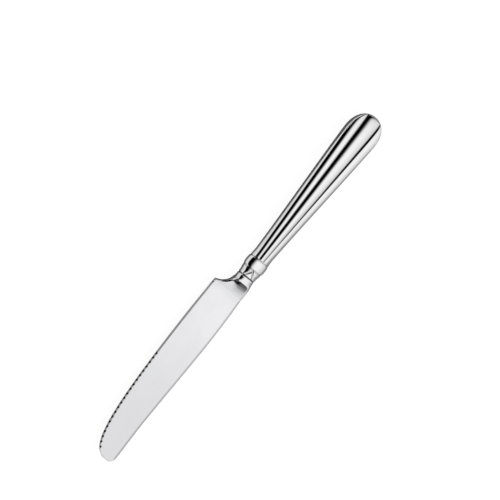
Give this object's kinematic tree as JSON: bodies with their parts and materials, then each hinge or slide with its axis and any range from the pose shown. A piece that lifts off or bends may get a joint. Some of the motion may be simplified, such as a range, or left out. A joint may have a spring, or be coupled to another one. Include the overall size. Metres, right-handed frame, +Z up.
{
  "type": "dessert knife",
  "caption": "Hollow-handle dessert knife: flat-ground blade with a serrated belly and round tip, round bolster, beaded neck and a tapered reeded handle with a domed butt.",
  "frame": {"origin": "on the table, under the middle of the knife's box, with the knife lying on the back of its handle", "axes": "+X along the handle's axis towards the tip, +Y from the cutting edge to the spine, +Z up, square to the seam of the handle"},
  "size_m": [0.21, 0.0202, 0.0102],
  "materials": {
    "blade_steel": "polished",
    "handle_steel": "polished",
    "solder": "satin",
    "braze": "satin",
    "cement": "matte"
  },
  "bodies": {
    "root": {"blade": "blade_steel", "solder_ring": "solder", "handle_half_front": "handle_steel", "handle_half_back": "handle_steel", "seam_braze": "braze", "handle_filler": "cement"}
  },
  "joints": []
}
